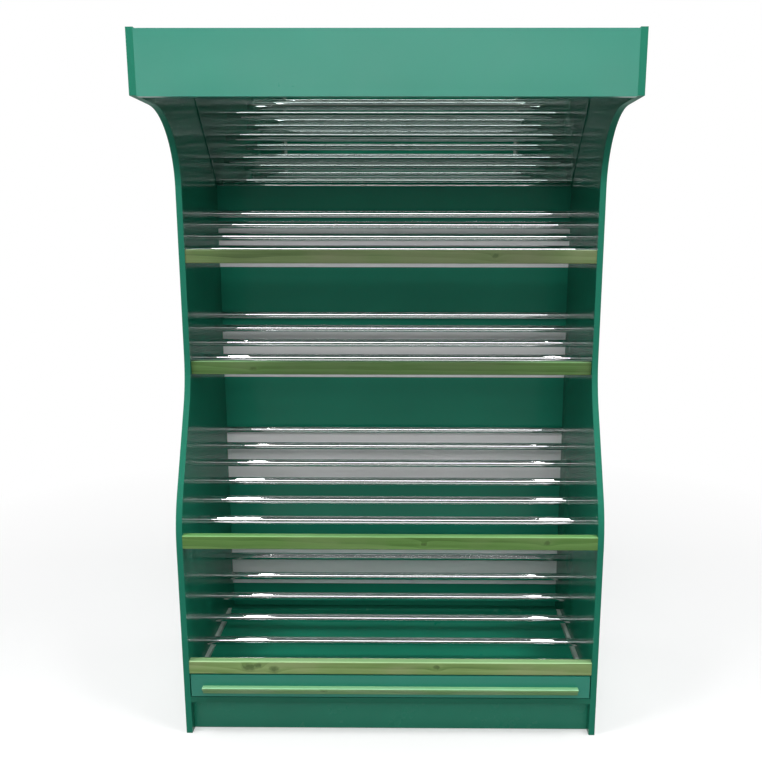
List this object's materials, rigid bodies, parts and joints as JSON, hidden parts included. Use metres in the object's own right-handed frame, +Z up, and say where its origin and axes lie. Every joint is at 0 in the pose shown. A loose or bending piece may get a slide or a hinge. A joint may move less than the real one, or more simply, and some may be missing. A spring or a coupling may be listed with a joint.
{
  "type": "produce display stand",
  "caption": "Tall shop stand with sloping tube shelves between shaped side panels, a tilted mirror under the header and a shallow crumb drawer at the foot.",
  "frame": {"origin": "middle of the outer box in X and Y, at floor level", "axes": "+X to the right as a shopper sees the stand, +Y from the shopper to the back panel, +Z up"},
  "size_m": [1.25, 0.79, 1.995],
  "materials": {
    "green_laminate": "glossy dark green laminate on board",
    "stained_wood": "softwood, stained green, satin lacquer",
    "chrome": "polished chrome plate",
    "mirror": "silvered glass",
    "white_laminate": "satin white laminate",
    "coated_steel": "white epoxy coating",
    "zinc_steel": "bright zinc plate",
    "nylon": "natural nylon"
  },
  "bodies": {
    "cabinet": {"side_panel_left": "green_laminate", "side_panel_right": "green_laminate", "header_fascia": "green_laminate", "top_board": "green_laminate", "mirror_board": "green_laminate", "mirror": "mirror", "back_panel": "green_laminate", "back_strip_1": "white_laminate", "back_strip_2": "white_laminate", "back_strip_3": "white_laminate", "back_strip_4": "white_laminate", "front_rail_1": "stained_wood", "front_rail_2": "stained_wood", "front_rail_3": "stained_wood", "front_rail_4": "stained_wood", "shelf_1_tube_1": "chrome", "shelf_1_tube_2": "chrome", "shelf_1_tube_3": "chrome", "shelf_1_tube_4": "chrome", "shelf_1_tube_5": "chrome", "shelf_2_tube_1": "chrome", "shelf_2_tube_2": "chrome", "shelf_2_tube_3": "chrome", "shelf_2_tube_4": "chrome", "shelf_2_tube_5": "chrome", "shelf_3_tube_1": "chrome", "shelf_3_tube_2": "chrome", "shelf_3_tube_3": "chrome", "shelf_3_tube_4": "chrome", "shelf_3_tube_5": "chrome", "shelf_3_tube_6": "chrome", "shelf_3_tube_7": "chrome", "shelf_4_tube_1": "chrome", "shelf_4_tube_2": "chrome", "shelf_4_tube_3": "chrome", "shelf_4_tube_4": "chrome", "shelf_4_tube_5": "chrome", "shelf_4_tube_6": "chrome", "shelf_4_tube_7": "chrome", "bottom_board": "green_laminate", "plinth": "green_laminate", "rear_plinth": "green_laminate", "cabinet_screws": "zinc_steel", "runner_left": "coated_steel", "runner_right": "coated_steel", "runner_screws": "zinc_steel", "runner_roller_left": "nylon", "runner_roller_right": "nylon"},
    "drawer": {"drawer_front": "green_laminate", "drawer_pull": "stained_wood", "pull_screws": "zinc_steel", "drawer_side_left": "coated_steel", "drawer_side_right": "coated_steel", "drawer_back": "green_laminate", "drawer_bottom": "green_laminate", "drawer_roller_left": "nylon", "drawer_roller_right": "nylon"}
  },
  "joints": [
    {"name": "drawer_slide", "type": "slide", "parent": "cabinet", "child": "drawer", "axis": [0, -1, 0], "range_m": [0, 0.35]}
  ]
}
